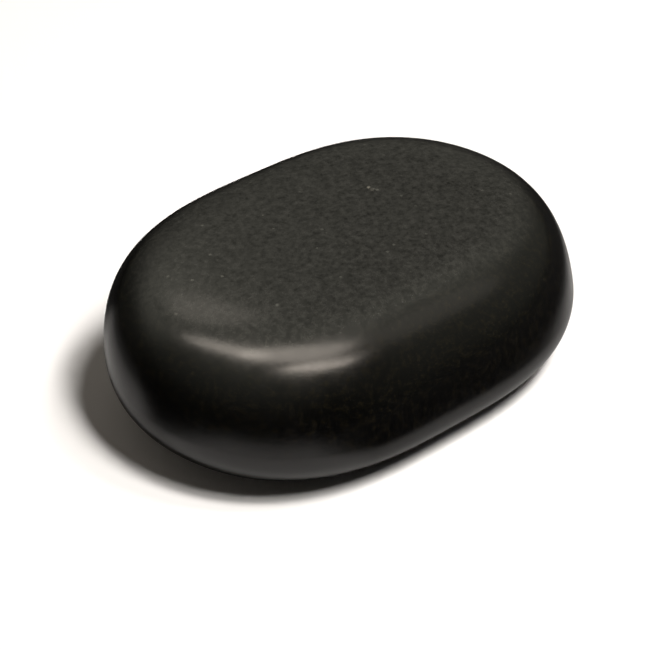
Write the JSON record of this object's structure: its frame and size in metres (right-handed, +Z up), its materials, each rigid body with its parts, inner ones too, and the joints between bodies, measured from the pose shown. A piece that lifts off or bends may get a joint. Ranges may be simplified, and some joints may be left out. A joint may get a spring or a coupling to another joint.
{
  "type": "massage stone",
  "caption": "Smooth oval basalt massage stone with a broad flat top and full rounded sides, lying on its underside.",
  "frame": {"origin": "middle of the footprint, on the surface that the stone lies on", "axes": "+X along the stone's length, +Y across it towards its fuller side, +Z up through its flat top"},
  "size_m": [0.1002, 0.0692, 0.031],
  "materials": {
    "honed_basalt": "honed and oiled, soft satin gloss"
  },
  "bodies": {
    "root": {"stone": "honed_basalt"}
  },
  "joints": []
}
